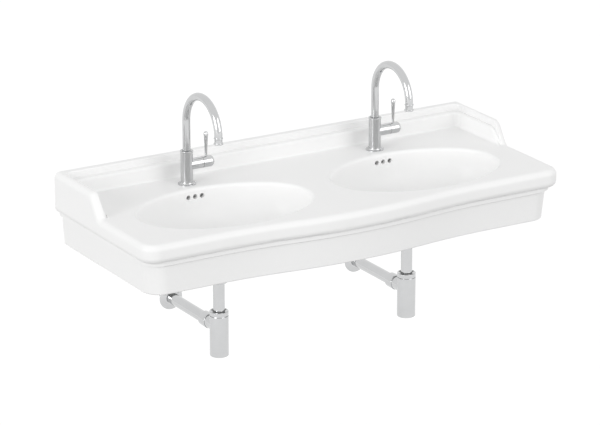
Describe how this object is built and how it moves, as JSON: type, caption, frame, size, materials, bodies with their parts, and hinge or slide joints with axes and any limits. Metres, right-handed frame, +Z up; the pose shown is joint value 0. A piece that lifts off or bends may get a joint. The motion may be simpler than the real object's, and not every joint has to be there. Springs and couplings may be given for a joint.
{
  "type": "wall-hung double basin",
  "caption": "Wall-hung ceramic console basin with a bow front and stepped upstand, oval bowls side by side, gooseneck lever taps, push-open plugs and chrome bottle traps",
  "frame": {"origin": "on the back face that lies on the wall, at deck level, midway between the two bowls", "axes": "+X along the wall to the viewer's right, +Y into the wall, +Z up; the bowls are at x = -0.3 and +0.3 m"},
  "size_m": [1.3, 0.5849, 0.7165],
  "materials": {
    "ceramic": "gloss white glaze",
    "chrome": "polished chrome plate on brass",
    "brass": "turned, unplated",
    "steel": "plain stainless",
    "cartridge_plastic": "moulded",
    "bush_plastic": "moulded",
    "rubber": "moulded"
  },
  "bodies": {
    "basin_assembly": {"basin": "ceramic", "tap_base_left": "chrome", "tap_base_right": "chrome", "tap_body_left": "chrome", "tap_body_right": "chrome", "tap_shank_left": "brass", "tap_shank_right": "brass", "cartridge_left": "cartridge_plastic", "cartridge_right": "cartridge_plastic", "cartridge_nut_left": "brass", "cartridge_nut_right": "brass", "spout_bush_left": "bush_plastic", "spout_bush_right": "bush_plastic", "waste_body_left": "chrome", "waste_body_right": "chrome", "click_unit_left": "brass", "click_unit_right": "brass", "tailpipe_left": "chrome", "tailpipe_right": "chrome", "trap_body_left": "chrome", "trap_body_right": "chrome", "outlet_pipe_left": "chrome", "outlet_pipe_right": "chrome", "tap_gaskets": "rubber", "tap_washers": "steel", "tap_lock_nuts": "brass", "flange_seals": "rubber", "under_seals": "rubber", "waste_lock_nuts": "brass", "union_seals": "rubber", "union_nuts": "chrome", "trap_seals": "rubber", "trap_head_nuts": "chrome", "outlet_seals": "rubber", "outlet_nuts": "chrome", "wall_roses": "chrome"},
    "spout_left": {"spout_left": "chrome", "spout_seals_left": "rubber", "aerator_left": "chrome", "aerator_insert_left": "bush_plastic"},
    "handle_left": {"cartridge_stem_left": "brass", "handle_cap_left": "chrome", "lever_left": "chrome", "handle_screw_left": "steel"},
    "plug_left": {"plug_cap_left": "chrome", "plug_stem_left": "brass", "plug_seal_left": "rubber"},
    "spout_right": {"spout_right": "chrome", "spout_seals_right": "rubber", "aerator_right": "chrome", "aerator_insert_right": "bush_plastic"},
    "handle_right": {"cartridge_stem_right": "brass", "handle_cap_right": "chrome", "lever_right": "chrome", "handle_screw_right": "steel"},
    "plug_right": {"plug_cap_right": "chrome", "plug_stem_right": "brass", "plug_seal_right": "rubber"}
  },
  "joints": [
    {"name": "spout_swivel_left", "type": "hinge", "parent": "basin_assembly", "child": "spout_left", "pos_m": [-0.3, -0.1, 0.08], "axis": [0, 0, 1], "range_deg": [-60, 60]},
    {"name": "handle_turn_left", "type": "hinge", "parent": "basin_assembly", "child": "handle_left", "pos_m": [-0.254, -0.1, 0.054], "axis": [1, 0, 0], "range_deg": [0, 90]},
    {"name": "plug_lift_left", "type": "slide", "parent": "basin_assembly", "child": "plug_left", "axis": [0, 0, 1], "range_m": [0, 0.008]},
    {"name": "spout_swivel_right", "type": "hinge", "parent": "basin_assembly", "child": "spout_right", "pos_m": [0.3, -0.1, 0.08], "axis": [0, 0, 1], "range_deg": [-60, 60]},
    {"name": "handle_turn_right", "type": "hinge", "parent": "basin_assembly", "child": "handle_right", "pos_m": [0.346, -0.1, 0.054], "axis": [1, 0, 0], "range_deg": [0, 90]},
    {"name": "plug_lift_right", "type": "slide", "parent": "basin_assembly", "child": "plug_right", "axis": [0, 0, 1], "range_m": [0, 0.008]}
  ]
}
